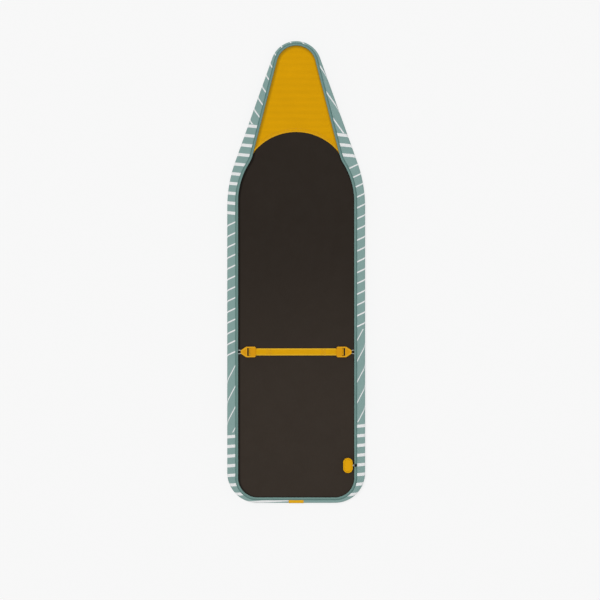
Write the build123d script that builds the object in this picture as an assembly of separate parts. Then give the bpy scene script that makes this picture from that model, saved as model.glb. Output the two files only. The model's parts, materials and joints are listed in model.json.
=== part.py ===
from build123d import *
import math
import os

# A covered ironing-board top, lying on its ironing face, as it lies while its cover is fitted or taken off.
# Millimetres. +Z points up out of the underside, +Y points to the nose, X runs across the board.
# The origin is on the ironing face, at the middle of the footprint.

# ---------------------------------------------------------------- driving dimensions
# Overall shape of the covered board
board_length = 1240.0  # nose tip to tail, with the tail tab
board_width = 370.0
nose_radius = 68.0
taper_angle = 19.65  # of each nose side from the long axis, degrees
shoulder_radius = 360.0
tail_radius = 81.0
face_edge_radius = 7.0  # rounding towards the ironing face
underside_edge_radius = 5.0

# Layers, from the ironing face up
fabric_thickness = 0.8
foam_thickness = 3.0
felt_thickness = 4.0
core_thickness = 12.0
backing_thickness = 3.0
fit_gap = 0.3  # between the cover and what it is stretched over

# Opening in the cover, at its hem's inner edge
side_flap = 29.5
nose_flap = 12.8
tail_flap = 15.5
opening_nose_radius = 53.0
opening_taper_angle = 14.4
opening_tail_radius = 52.0
arch_behind_shoulder = 47.0  # the opening starts to narrow this far behind the board's shoulder
arch_offset = 36.5  # the arc on each side is centred this far past the middle
kink_radius = 90.0  # where the opening's nose part meets its arched part

# Hem casing and the elastic drawcord that runs in it
hem_width = 7.8
hem_height = 3.8
hem_edge_radius = 1.5
channel_width = 4.0
channel_height = 2.4
cord_diameter = 2.0
cord_gap = 0.1
cord_lead = 30.0  # straight cord in the hem on both sides of each hook loop

# Nose pocket
mouth_inset = 8.3  # the mouth's arc is this much smaller than half the opening's width
mouth_behind_shoulder = 7.8  # the same arc's centre, behind the board's shoulder
pocket_seam_gap = 0.5
pocket_tail = 12.0  # what runs on under the hem past the kink
lip_width = 4.0
lip_thickness = 0.7

# Tail tab
tab_width = 40.0
tab_thickness = 0.8
tab_drop = 13.0  # how far it hangs down the tail wall

# Strap across the underside
strap_from_nose = 834.0
webbing_width = 20.0
webbing_thickness = 0.8
webbing_play = 0.5  # beside the webbing in the buckle
tail_length = 46.0  # of the webbing folded back under the strap
rest_gap = 0.3  # between the loose hardware and the underside

# Buckles, one at each end of the strap
buckle_length = 40.3
buckle_width = 28.5
buckle_height = 6.1
buckle_taper = 14.8
buckle_tip_width = 9.0
buckle_corner_radius = 4.0
buckle_shoulder_radius = 5.0
buckle_tip_radius = 3.5
buckle_edge_radius = 1.0
buckle_to_hem = 7.0
buckle_bar_radius = 1.0
bar_from_tip = 23.1
slot_from_tip = 17.2
plate_gap = 0.8  # between the folded webbing and the buckle's plate
recess_depth = 0.6
recess_margin = 3.4
plate_rib = 1.2  # left standing along the plate's edge, beside the slot
recess_corner_radius = 1.0
tip_recess_wall = 2.7  # between the slot and the recess in the pointed part
tip_recess_side = 2.0  # that recess is this much further in from the sides
tip_recess_end = 4.6  # and ends this far from the tip
tip_recess_half = 1.6  # where it is this wide to each side
plate_clearance = 0.5
post_radius = 2.5
post_from_tip = 4.6
loop_gap = 0.3
loop_spread = 5.0  # half the distance between a loop's two strands at the hem
loop_exit_radius = 3.0
undercut_room = 0.4  # past the cord, under the buckle's tip
tilt_gap = 0.2

# Cord lock
lock_from_nose = 1137.6
lock_width = 25.2
lock_length = 39.6
lock_corner_radius = 12.0
lock_to_opening = 4.4  # from the lock to the hem's inner edge
lock_wall = 2.0
lock_rim = 3.4
lock_rim_thickness = 1.6
lock_top_radius = 1.5
base_thickness = 1.4
base_chamfer = 0.5
base_lip = 1.2
base_lip_wall = 1.0
button_gap = 0.35
button_travel = 2.0
button_flange = 1.45
button_proud = 0.6
button_edge_radius = 1.0
button_shoulder = 0.4  # between the window's top at full press and the flange
button_play = 0.05  # between the flange and the rim above it
stem_width = 8.0
stem_length = 9.0
stem_floor = 1.2
spring_radius = 2.3
spring_wire = 0.6
spring_turns = 4
spring_offset = 11.0
peg_radius = 1.4
peg_height = 1.6
knot_size = (4.8, 6.0, 3.6)
knot_rounding = 1.7
knot_offset = 7.3
knot_drop = 0.4

# Eyelet where the two cord ends leave the hem
eyelet_bore_radius = cord_diameter + cord_gap + 0.3  # lets both strands through
eyelet_barrel_radius = eyelet_bore_radius + 0.5
eyelet_flange_radius = eyelet_barrel_radius + 0.6
eyelet_flange = 0.6
hood_roof = 0.8
hood_edge_radius = 0.6
strand_bend_radius = 1.6
strand_reach = 4.5  # from the eyelet's centre to where the strands join the drawcord

spare = 1.0  # how far a cutting block runs past what it cuts

# ---------------------------------------------------------------- places that follow
nose_y = board_length / 2
tail_y = -board_length / 2 + tab_thickness
half_width = board_width / 2
taper_slope = math.tan(math.radians(taper_angle))
apex_y = nose_y + nose_radius * (1 / math.sin(math.radians(taper_angle)) - 1)
shoulder_y = apex_y - half_width / taper_slope

opening_half = half_width - side_flap
opening_nose_y = nose_y - nose_flap
opening_slope = math.tan(math.radians(opening_taper_angle))
opening_apex_y = opening_nose_y + opening_nose_radius * (1 / math.sin(math.radians(opening_taper_angle)) - 1)
opening_tail_y = tail_y + tail_flap
arch_y = shoulder_y - arch_behind_shoulder
arch_radius = opening_half + arch_offset
mouth_y = shoulder_y - mouth_behind_shoulder
mouth_radius = opening_half - mouth_inset

foam_z = fabric_thickness
felt_z = foam_z + foam_thickness
core_z = felt_z + felt_thickness
backing_z = core_z + core_thickness
underside_z = backing_z + backing_thickness
flap_top_z = underside_z + fabric_thickness
hem_top_z = flap_top_z + hem_height
channel_z = flap_top_z + hem_height / 2

cord_radius = cord_diameter / 2
strap_y = nose_y - strap_from_nose
lock_y = nose_y - lock_from_nose
hem_centre_x = opening_half + hem_width / 2
buckle_tip_x = opening_half - buckle_to_hem
buckle_inner_x = buckle_tip_x - buckle_length
loose_z = underside_z + rest_gap


def prism(face, low, high):
    """A straight solid on a flat outline, from one height to another."""
    return Pos(0, 0, low) * extrude(face, amount=high - low)


def slab(x0, x1, y0, y1, z0, z1):
    """A box from its two corners."""
    return Pos((x0 + x1) / 2, (y0 + y1) / 2, (z0 + z1) / 2) * Box(x1 - x0, y1 - y0, z1 - z0)


def both_sides(part):
    """The part made for the right-hand side, mirrored to the left."""
    return mirror(part, about=Plane.YZ)


# ---------------------------------------------------------------- outlines
def board_outline():
    """Outline of the covered board: straight sides, a tapered round nose and a square tail."""
    corners = [
        (-half_width, tail_y),
        (half_width, tail_y),
        (half_width, shoulder_y),
        (0, apex_y),
        (-half_width, shoulder_y),
    ]
    face = make_face(Polyline(*corners, close=True))
    face = fillet(face.vertices().sort_by(Axis.Y)[:2], tail_radius)
    shoulders = face.vertices().filter_by(lambda v: abs(v.Y - shoulder_y) < 1)
    face = fillet(shoulders, shoulder_radius)
    return fillet(face.vertices().sort_by(Axis.Y)[-1:], nose_radius)


def kink_y():
    """Where along the board the opening's nose sides meet its arched part."""
    # a side is x = (apex - y) * slope; the arc is (x + offset)^2 + (y - arch_y)^2 = radius^2
    side_x = (opening_apex_y - arch_y) * opening_slope + arch_offset
    a = 1 + opening_slope**2
    b = opening_slope * side_x
    c = side_x**2 - arch_radius**2
    return arch_y + (b + math.sqrt(b * b - a * c)) / a


def opening_outline():
    """Outline of the opening in the cover: a narrow nose part that joins a wide part with a pointed arch."""
    wedge_low = (arch_y + kink_y()) / 2
    wedge_half = (opening_apex_y - wedge_low) * opening_slope
    wedge = make_face(
        Polyline((-wedge_half, wedge_low), (wedge_half, wedge_low), (0, opening_apex_y), close=True)
    )
    wedge = fillet(wedge.vertices().sort_by(Axis.Y)[-1:], opening_nose_radius)
    body = make_face(
        Polyline(
            (-opening_half, opening_tail_y),
            (opening_half, opening_tail_y),
            (opening_half, arch_y),
            (-opening_half, arch_y),
            close=True,
        )
    )
    body = fillet(body.vertices().sort_by(Axis.Y)[:2], opening_tail_radius)
    arch = Pos(-arch_offset, arch_y) * Circle(arch_radius) & Pos(arch_offset, arch_y) * Circle(arch_radius)
    arch &= Pos(0, arch_y + arch_radius / 2) * Rectangle(2 * opening_half, arch_radius)
    whole = body + arch + wedge
    kinks = whole.vertices().filter_by(lambda v: abs(v.Y - kink_y()) < 1)
    return fillet(kinks, kink_radius)


outline = board_outline()
opening = opening_outline()
hem_outer = offset(opening, amount=hem_width)
hem_centre = offset(opening, amount=hem_width / 2)


def rounded_board(inset, low, high):
    """The board's body shape, set in from the outline all round, with both edges rounded."""
    face = offset(outline, amount=-inset) if inset else outline
    body = prism(face, low, high)
    body = fillet(body.faces().sort_by(Axis.Z)[0].edges(), face_edge_radius - inset)
    return fillet(body.faces().sort_by(Axis.Z)[-1].edges(), underside_edge_radius - inset)


# ---------------------------------------------------------------- board, pad and cover
def cover_fabric():
    """The printed cloth: ironing face, side walls and the flap on the underside, as one skin."""
    skin = rounded_board(0, 0, flap_top_z)
    skin -= rounded_board(fabric_thickness, fabric_thickness, underside_z)
    return skin - prism(hem_centre, underside_z - spare, flap_top_z + spare)


def pad_and_board_layers():
    """Foam, felt, core and backing: one stack of the board's shape, cut into its layers."""
    stack = rounded_board(fabric_thickness + fit_gap, fabric_thickness, underside_z)
    reach = board_length
    levels = [
        ("foam_layer", foam_z, felt_z),
        ("felt_layer", felt_z, core_z),
        ("board_core", core_z, backing_z),
        ("board_backing", backing_z, underside_z),
    ]
    return {name: stack & slab(-reach, reach, -reach, reach, low, high) for name, low, high in levels}


def hem_casing():
    """The cover's bound edge: hollow for the drawcord, with the hook loops' slits and the eyelet's hole."""
    hem = prism(hem_outer - opening, flap_top_z, hem_top_z)
    hem = fillet(hem.faces().sort_by(Axis.Z)[-1].edges(), hem_edge_radius)
    channel_low = channel_z - channel_height / 2
    channel_high = channel_z + channel_height / 2
    channel = offset(opening, amount=(hem_width + channel_width) / 2) - offset(
        opening, amount=(hem_width - channel_width) / 2
    )
    hem -= prism(channel, channel_low, channel_high)
    slit_half = loop_spread + loop_exit_radius
    inner_x = opening_half - spare
    slit = slab(
        inner_x, hem_centre_x, strap_y - slit_half, strap_y + slit_half, channel_low, channel_high
    )
    hem -= slit
    hem -= both_sides(slit)
    barrel = Pos(hem_centre_x, lock_y, channel_z) * Cylinder(
        eyelet_barrel_radius, hem_height, align=(Align.CENTER, Align.CENTER, Align.MIN)
    )
    return hem - barrel


def hook_loop(side):
    """The drawcord's route on one side: up the hem, out round the buckle's post and back in."""
    bight_x = buckle_tip_x - post_from_tip - (post_radius + loop_gap + cord_radius)
    bight = post_radius + loop_gap + cord_radius
    points = [
        (side * hem_centre_x, strap_y - loop_spread - cord_lead),
        (side * hem_centre_x, strap_y - loop_spread),
        (side * bight_x, strap_y - bight - cord_gap),
        (side * bight_x, strap_y + bight + cord_gap),
        (side * hem_centre_x, strap_y + loop_spread),
        (side * hem_centre_x, strap_y + loop_spread + cord_lead),
    ]
    radii = [loop_exit_radius, bight, bight, loop_exit_radius]
    return FilletPolyline(*points, radius=radii)


def drawcord():
    """The elastic cord in the hem, from one side of the eyelet round the nose and tail to the other."""
    edges = list(hem_centre.edges())
    long_sides = [e for e in edges if abs(abs(e.center().X) - hem_centre_x) < 0.01]
    edges = [e for e in edges if e not in long_sides]
    ys = [v.Y for e in long_sides for v in e.vertices()]
    low_y, high_y = min(ys), max(ys)
    loop_low = strap_y - loop_spread - cord_lead
    loop_high = strap_y + loop_spread + cord_lead
    route = edges + list(hook_loop(1).edges()) + list(hook_loop(-1).edges())
    for x, y0, y1 in (
        (hem_centre_x, lock_y + strand_reach, loop_low),
        (hem_centre_x, loop_high, high_y),
        (-hem_centre_x, loop_high, high_y),
        (-hem_centre_x, low_y, loop_low),
        (hem_centre_x, low_y, lock_y - strand_reach),
    ):
        route.append(Line((x, y0), (x, y1)).edge())
    path = Pos(0, 0, channel_z) * Wire(route)
    start = Plane(origin=path @ 0, z_dir=path % 0)
    return sweep(start * Circle(cord_radius), path=path)


def nose_pocket():
    """The pocket that slips over the board's nose; its mouth is an arc."""
    panel = offset(opening, amount=hem_width / 2 - pocket_seam_gap)
    mouth = Pos(0, mouth_y) * Circle(mouth_radius)
    low = kink_y() - pocket_tail
    keep = Pos(0, (low + nose_y) / 2) * Rectangle(board_width, nose_y - low)
    return prism((panel & keep) - mouth, underside_z, flap_top_z)


def pocket_lip():
    """The bound edge of the pocket's mouth."""
    ring = Pos(0, mouth_y) * (Circle(mouth_radius + lip_width) - Circle(mouth_radius))
    low = kink_y()
    keep = Pos(0, (low + nose_y) / 2) * Rectangle(board_width, nose_y - low)
    inside = offset(opening, amount=-cord_gap)
    return prism(ring & keep & inside, flap_top_z, flap_top_z + lip_thickness)


def tail_tab():
    """A tab sewn in beside the hem at the tail, folded down over the board's edge."""
    outer = rounded_tail(tab_thickness)
    inner = rounded_tail(0)
    strip = outer - inner
    hem_side = opening_tail_y - hem_width - cord_gap
    half = tab_width / 2
    return strip & slab(-half, half, tail_y - tab_drop, hem_side, flap_top_z - tab_drop, hem_top_z)


def rounded_tail(grow):
    """The covered tail's end profile, grown outwards, as a block right across the board."""
    low_y = tail_y - grow
    high_z = flap_top_z + grow
    block = slab(-half_width, half_width, low_y, 0, -grow, high_z)
    edge = block.edges().filter_by(Axis.X).group_by(Axis.Z)[-1].sort_by(Axis.Y)[0]
    return fillet(edge, underside_edge_radius + grow)


def cord_eyelet():
    """The ring that lines the cord's way out of the hem, with a hood that turns the strands to the lock."""
    roof_z = strand_z + cord_radius + cord_gap - hem_top_z
    hood = Cylinder(eyelet_flange_radius, roof_z + hood_roof, align=(Align.CENTER, Align.CENTER, Align.MIN))
    hood = fillet(hood.edges().group_by(Axis.Z)[-1], hood_edge_radius)
    wall = hem_top_z - (channel_z + channel_height / 2)
    barrel = Cylinder(eyelet_barrel_radius, wall, align=(Align.CENTER, Align.CENTER, Align.MAX))
    bore = Cylinder(eyelet_bore_radius, wall + spare + roof_z, align=(Align.CENTER, Align.CENTER, Align.MIN))
    half = 2 * strand_y + cord_gap
    ring = hood + barrel - Pos(0, 0, -wall - spare) * bore
    ring -= slab(-eyelet_flange_radius - spare, 0, -half, half, eyelet_flange, roof_z)
    return Pos(hem_centre_x, lock_y, hem_top_z) * ring


# ---------------------------------------------------------------- strap and buckles
bar_x = buckle_tip_x - bar_from_tip
half_web = webbing_thickness / 2
wrap_radius = buckle_bar_radius + cord_gap + half_web
layer_step = webbing_thickness + cord_gap
bar_z = loose_z + rest_gap + wrap_radius + half_web
strap_z = bar_z - wrap_radius + layer_step  # middle of the strap's own layer
under_z = bar_z - wrap_radius  # middle of the layer folded back below it
tilt_z = strap_z + half_web


def strap_webbing():
    """The strap between the buckles."""
    end = buckle_inner_x - tilt_gap / 2
    half = webbing_width / 2
    return slab(-end, end, strap_y - half, strap_y + half, strap_z - half_web, strap_z + half_web)


def strap_tails():
    """The webbing's two ends, folded back under the strap."""
    end = buckle_inner_x - tilt_gap / 2
    half = webbing_width / 2
    tail = slab(
        end - tail_length, end, strap_y - half, strap_y + half, under_z - half_web, under_z + half_web
    )
    return Compound([tail.solid(), both_sides(tail).solid()])


def ring_part(x, z, radius, start, sweep_angle):
    """Part of a flat ring of the webbing's thickness, in the XZ plane."""
    outer, inner = radius + half_web, radius - half_web
    ring = make_face(
        [
            Edge.make_circle(outer, start_angle=start, end_angle=start + sweep_angle),
            Edge.make_circle(inner, start_angle=start, end_angle=start + sweep_angle),
            *[
                Edge.make_line(
                    Vector(inner * math.cos(math.radians(a)), inner * math.sin(math.radians(a))),
                    Vector(outer * math.cos(math.radians(a)), outer * math.sin(math.radians(a))),
                )
                for a in (start, start + sweep_angle)
            ],
        ]
    )
    return Pos(x, z) * ring


def webbing_end():
    """The webbing inside the right-hand buckle: in under the plate, over the bar and back below itself."""
    rise_x = bar_x - wrap_radius
    bend = bar_z - strap_z
    start_x = buckle_inner_x + tilt_gap / 2
    lead = Pos((start_x + rise_x - bend) / 2, strap_z) * Rectangle(rise_x - bend - start_x, webbing_thickness)
    tail = Pos((start_x + bar_x) / 2, under_z) * Rectangle(bar_x - start_x, webbing_thickness)
    profile = lead + tail
    profile += ring_part(rise_x - bend, bar_z, bend, -90, 90)
    profile += ring_part(bar_x, bar_z, wrap_radius, -90, 270)
    solid = extrude(Plane.XZ * profile, amount=webbing_width / 2, both=True)
    return Pos(0, strap_y, 0) * solid


def buckle():
    """The right-hand buckle: a pointed frame, a bar for the webbing and a post under the tip for the cord."""
    half = buckle_width / 2
    tip_half = buckle_tip_width / 2
    shoulder_x = buckle_tip_x - buckle_taper
    outline_points = [
        (buckle_inner_x, -half),
        (shoulder_x, -half),
        (buckle_tip_x, -tip_half),
        (buckle_tip_x, tip_half),
        (shoulder_x, half),
        (buckle_inner_x, half),
    ]
    face = make_face(Polyline(*outline_points, close=True))
    face = fillet(face.vertices().group_by(Axis.X)[0], buckle_corner_radius)
    face = fillet(face.vertices().filter_by(lambda v: abs(v.X - shoulder_x) < 0.01), buckle_shoulder_radius)
    face = fillet(face.vertices().group_by(Axis.X)[-1], buckle_tip_radius)
    top = loose_z + buckle_height
    body = prism(face, loose_z, top)
    body = fillet(body.faces().sort_by(Axis.Z)[-1].edges(), buckle_edge_radius)

    channel_half = webbing_width / 2 + webbing_play
    plate_x = bar_x - wrap_radius - half_web - plate_gap
    slot_x = buckle_tip_x - slot_from_tip
    plate_low = tilt_z + plate_clearance
    inside = buckle_inner_x - spare
    over, below = top + spare, loose_z - spare
    recess_half = half - recess_margin
    body -= slab(inside, slot_x, -channel_half, channel_half, below, plate_low)
    body -= slab(plate_x, slot_x, -channel_half, channel_half, below, over)
    body -= slab(inside, plate_x - plate_rib, -recess_half, recess_half, top - recess_depth, over)

    tip_x0, tip_x1 = slot_x + tip_recess_wall, buckle_tip_x - tip_recess_end
    wide = recess_half - tip_recess_side
    recess = make_face(
        Polyline(
            (tip_x0, -wide), (tip_x1, -tip_recess_half), (tip_x1, tip_recess_half), (tip_x0, wide), close=True
        )
    )
    recess = fillet(recess.vertices(), recess_corner_radius)
    body -= prism(recess, top - recess_depth, over)

    post_x = buckle_tip_x - post_from_tip
    tip_low = channel_z + cord_radius + loop_gap
    undercut_x = post_x - post_radius - 2 * loop_gap - cord_diameter - undercut_room
    body -= slab(undercut_x, buckle_tip_x + spare, -half, half, below, tip_low)
    post_low = channel_z - cord_radius - loop_gap
    body += Pos(post_x, 0, (post_low + tip_low) / 2) * Cylinder(post_radius, tip_low - post_low)
    body += Pos(bar_x, 0, bar_z) * Rot(90, 0, 0) * Cylinder(buckle_bar_radius, 2 * channel_half + spare)
    return Pos(0, strap_y, 0) * body


# ---------------------------------------------------------------- cord lock
lock_x = opening_half - lock_to_opening - lock_width / 2
strand_y = cord_radius + cord_gap / 2
strand_z = hem_top_z + eyelet_flange + cord_gap + cord_radius
cavity_low = loose_z + base_thickness
hole_low = strand_z - cord_radius - cord_gap
hole_high = strand_z + cord_radius + cord_gap + button_travel
flange_low = hole_high + button_shoulder
rim_low = flange_low + button_flange + button_play
lock_top = rim_low + lock_rim_thickness


def lock_outline(inset):
    """The lock's oval outline, set in all round."""
    return Pos(lock_x, lock_y) * RectangleRounded(
        lock_width - 2 * inset, lock_length - 2 * inset, lock_corner_radius - inset
    )


def lock_housing():
    """The lock's shell: an oval wall with a rim that holds the button in, and the cord's way in."""
    body = prism(lock_outline(0), cavity_low, lock_top)
    body = fillet(body.faces().sort_by(Axis.Z)[-1].edges(), lock_top_radius)
    body -= prism(lock_outline(lock_wall), cavity_low - spare, rim_low)
    body -= prism(lock_outline(lock_rim), rim_low - spare, lock_top + spare)
    half = 2 * strand_y + cord_gap
    way_in = slab(
        lock_x + lock_width / 2 - lock_wall - spare,
        lock_x + lock_width / 2 + spare,
        lock_y - half,
        lock_y + half,
        strand_z - cord_radius - cord_gap,
        strand_z + cord_radius + cord_gap,
    )
    return body - way_in


def lock_base():
    """The lock's floor, with a lip that snaps into the shell and a peg for each spring."""
    base = prism(lock_outline(0), loose_z, cavity_low)
    base = chamfer(base.faces().sort_by(Axis.Z)[0].edges(), base_chamfer)
    lip_inset = lock_wall + cord_gap
    lip = lock_outline(lip_inset) - lock_outline(lip_inset + base_lip_wall)
    base += prism(lip, cavity_low, cavity_low + base_lip)
    for end in (-1, 1):
        peg = Cylinder(peg_radius, peg_height, align=(Align.CENTER, Align.CENTER, Align.MIN))
        base += Pos(lock_x, lock_y + end * spring_offset, cavity_low) * peg
    return base


def lock_button():
    """The push button: a crown in the rim, a flange below it and a stem with a window that grips the cord."""
    crown = prism(lock_outline(lock_rim + button_gap), flange_low, lock_top + button_proud)
    crown = fillet(crown.faces().sort_by(Axis.Z)[-1].edges(), button_edge_radius)
    body = crown + prism(lock_outline(lock_wall + button_gap), flange_low, flange_low + button_flange)
    stem_low = hole_low - stem_floor
    body += slab(
        lock_x - stem_width / 2,
        lock_x + stem_width / 2,
        lock_y - stem_length / 2,
        lock_y + stem_length / 2,
        stem_low,
        flange_low,
    )
    half = 2 * strand_y + cord_gap
    window = slab(
        lock_x - stem_width, lock_x + stem_width, lock_y - half, lock_y + half, hole_low, hole_high
    )
    return body - window


def lock_springs():
    """The two coil springs that push the button up."""
    height = flange_low - cavity_low - spring_wire - 2 * cord_gap
    path = Helix(pitch=height / spring_turns, height=height, radius=spring_radius)
    coil = sweep(Plane(origin=path @ 0, z_dir=path % 0) * Circle(spring_wire / 2), path=path, is_frenet=True)
    low = cavity_low + spring_wire / 2 + cord_gap
    coils = [Pos(lock_x, lock_y + end * spring_offset, low) * coil for end in (-1, 1)]
    return Compound([c.solid() for c in coils])


def cord_knot():
    """The two cord ends inside the lock, knotted together beyond its stem."""
    wall_x = lock_x + lock_width / 2
    knot_x = lock_x - knot_offset
    knot = Box(*knot_size)
    body = Pos(knot_x, lock_y, strand_z - knot_drop) * fillet(knot.edges(), knot_rounding)
    for side in (-1, 1):
        strand = Cylinder(cord_radius, wall_x - knot_x, align=(Align.CENTER, Align.CENTER, Align.MIN))
        body += Pos(knot_x, lock_y + side * strand_y, strand_z) * Rot(0, 90, 0) * strand
    return body


def lock_cords():
    """The two strands between the drawcord and the lock: up through the eyelet and across to the shell."""
    strands = []
    for side in (-1, 1):
        y = lock_y + side * strand_y
        path = FilletPolyline(
            (hem_centre_x, lock_y + side * strand_reach, channel_z),
            (hem_centre_x, y, channel_z),
            (hem_centre_x, y, strand_z),
            (lock_x + lock_width / 2, y, strand_z),
            radius=strand_bend_radius,
        )
        start = Plane(origin=path @ 0, z_dir=path % 0)
        strands.append(sweep(start * Circle(cord_radius), path=path).solid())
    return Compound(strands)


# ---------------------------------------------------------------- write every piece
pieces = {
    "cover_fabric": cover_fabric(),
    **pad_and_board_layers(),
    "hem_casing": hem_casing(),
    "drawcord": drawcord(),
    "nose_pocket": nose_pocket(),
    "pocket_lip": pocket_lip(),
    "tail_tab": tail_tab(),
    "cord_eyelet": cord_eyelet(),
    "strap_webbing": strap_webbing(),
    "strap_tails": strap_tails(),
    "right_buckle": buckle(),
    "right_webbing_end": webbing_end(),
    "left_buckle": both_sides(buckle()),
    "left_webbing_end": both_sides(webbing_end()),
    "lock_housing": lock_housing(),
    "lock_base": lock_base(),
    "lock_button": lock_button(),
    "lock_springs": lock_springs(),
    "cord_knot": cord_knot(),
    "lock_cords": lock_cords(),
}

os.makedirs("parts", exist_ok=True)
for name, piece in pieces.items():
    export_step(piece, os.path.join("parts", name + ".step"))
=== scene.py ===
import json
import random
from math import acos, asin, cos, dist, pi, radians, sin, tan, tau

import bmesh
import bpy
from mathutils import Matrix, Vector


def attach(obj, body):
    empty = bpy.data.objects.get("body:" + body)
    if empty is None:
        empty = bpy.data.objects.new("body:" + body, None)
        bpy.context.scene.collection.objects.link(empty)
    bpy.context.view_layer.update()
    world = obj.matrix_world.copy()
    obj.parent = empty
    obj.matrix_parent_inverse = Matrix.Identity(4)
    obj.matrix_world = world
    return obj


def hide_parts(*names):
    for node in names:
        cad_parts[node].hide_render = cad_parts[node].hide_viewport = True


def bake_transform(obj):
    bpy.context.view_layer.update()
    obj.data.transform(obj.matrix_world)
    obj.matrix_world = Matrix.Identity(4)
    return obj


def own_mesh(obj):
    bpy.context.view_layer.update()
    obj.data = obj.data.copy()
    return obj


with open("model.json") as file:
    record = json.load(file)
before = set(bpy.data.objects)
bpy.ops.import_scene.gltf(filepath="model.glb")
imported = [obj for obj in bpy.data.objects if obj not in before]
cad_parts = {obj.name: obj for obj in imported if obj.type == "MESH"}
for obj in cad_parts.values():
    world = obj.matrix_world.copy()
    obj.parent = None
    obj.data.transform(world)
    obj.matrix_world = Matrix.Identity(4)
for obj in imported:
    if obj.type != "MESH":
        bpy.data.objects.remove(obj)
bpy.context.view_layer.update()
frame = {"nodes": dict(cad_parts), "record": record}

MM = 0.001
QUARTER = pi / 2
rng = random.Random(7)

# ---- sizes, in millimetres, as in the CAD source
LENGTH = 1240.0
WIDTH = 370.0
HALF = WIDTH / 2
TAB = 0.8  # thickness of the tail tab, which lies outside the cover
NOSE_Y = LENGTH / 2
TAIL_Y = -LENGTH / 2 + TAB
NOSE_R = 68.0
TAPER = radians(19.65)
SHOULDER_R = 360.0
TAIL_R = 81.0
APEX_Y = NOSE_Y + NOSE_R * (1 / sin(TAPER) - 1)
SHOULDER_Y = APEX_Y - HALF / tan(TAPER)
FACE_EDGE = 7.0  # radius of the edge round the ironing face
UNDER_EDGE = 5.0  # radius of the edge round the underside
FACE_SEAM_Z = 1.5  # where the print of the side band meets the print of the ironing face
FABRIC = 0.8
FOAM_Z = 0.8
FELT_Z = 3.8
CORE_Z = 7.8
UNDERSIDE_Z = 22.8
FLAP_Z = UNDERSIDE_Z + FABRIC
HEM_W = 7.8
HEM_H = 3.8
LIP_W = 4.0  # width of the folded lip along the pocket's mouth
HEM_TOP_Z = FLAP_Z + HEM_H
CORD_Z = FLAP_Z + HEM_H / 2
CORD_R = 1.0
GAP = 0.3  # room left between loose neighbours

OPEN_HALF = HALF - 29.5
OPEN_NOSE_R = 53.0
OPEN_TAPER = radians(14.4)
OPEN_TAIL_R = 52.0
KINK_R = 90.0
OPEN_NOSE_Y = NOSE_Y - 12.8
OPEN_TAIL_Y = TAIL_Y + 15.5
OPEN_APEX_Y = OPEN_NOSE_Y + OPEN_NOSE_R * (1 / sin(OPEN_TAPER) - 1)
ARCH_X = -36.5
ARCH_Y = SHOULDER_Y - 47.0
HEM_X = OPEN_HALF + HEM_W / 2
MOUTH_Y = SHOULDER_Y - 7.8
MOUTH_R = OPEN_HALF - 8.3
MOUTH_START = asin(95.0 / MOUTH_R)

STRAP_Y = NOSE_Y - 834.0
WEB_W = 19.0  # woven 1 mm narrower than the slot it runs through
WEB_T = 0.8
STRAP_CLEAR = 36.0  # distance from the strap at which its loops of cord begin
SPLICE_X = 66.0  # where the strap's middle piece meets its two ends
FOLD_BACK = 46.0  # how far the folded end reaches past the buckle's inner edge
BUCKLE_TIP_X = OPEN_HALF - 7.0
BUCKLE_IN_X = BUCKLE_TIP_X - 40.3
BUCKLE_TOP_Z = UNDERSIDE_Z + GAP + 6.1
BAR_X = BUCKLE_TIP_X - 23.1
WRAP_R = 1.5  # from the bar's middle to the middle of the webbing round it
UNDER_LAYER_Z = UNDERSIDE_Z + 2 * GAP + WEB_T / 2
BAR_Z = UNDER_LAYER_Z + WRAP_R
STRAP_Z = UNDER_LAYER_Z + 0.9
POST_X = BUCKLE_TIP_X - 4.6
POST_R = 2.5

LOCK_Y = NOSE_Y - 1137.6
LOCK_HALF = 12.6
LOCK_X = OPEN_HALF - 4.4 - LOCK_HALF
STRAND_Y = 1.05  # each strand's distance from the lock's middle line
STRAND_REACH = 4.5  # distance from that line at which the cord in the hem ends and the strands begin
STRAND_Z = HEM_TOP_Z + 0.6 + 0.1 + CORD_R
BASE_Z = UNDERSIDE_Z + GAP + 1.4
FLANGE_Z = STRAND_Z + 2 * CORD_R + 1.5


# ---- curves round the board
class Curve:
    """Half of a closed outline, from the middle of the tail to the tip of the nose along +X."""

    def __init__(self, parts):
        self.parts = parts
        self.ends = [0.0]
        for part in parts:
            self.ends.append(self.ends[-1] + self.size(part))

    @staticmethod
    def size(part):
        if part[0] == "line":
            return dist(part[1], part[2])
        return part[2] * abs(part[4] - part[3])

    def at(self, s):
        """Point and outward normal at a distance along the half outline."""
        k = 0
        while k < len(self.parts) - 1 and s > self.ends[k + 1]:
            k += 1
        part = self.parts[k]
        t = (s - self.ends[k]) / (self.ends[k + 1] - self.ends[k])
        if part[0] == "line":
            (x0, y0), (x1, y1) = part[1], part[2]
            run = dist(part[1], part[2])
            return (x0 + (x1 - x0) * t, y0 + (y1 - y0) * t), ((y1 - y0) / run, (x0 - x1) / run)
        (cx, cy), r, a0, a1 = part[1:]
        a = a0 + (a1 - a0) * t
        side = 1 if a1 > a0 else -1
        return (cx + r * cos(a), cy + r * sin(a)), (side * cos(a), side * sin(a))


def polar(centre, r, a):
    return (centre[0] + r * cos(a), centre[1] + r * sin(a))


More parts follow.
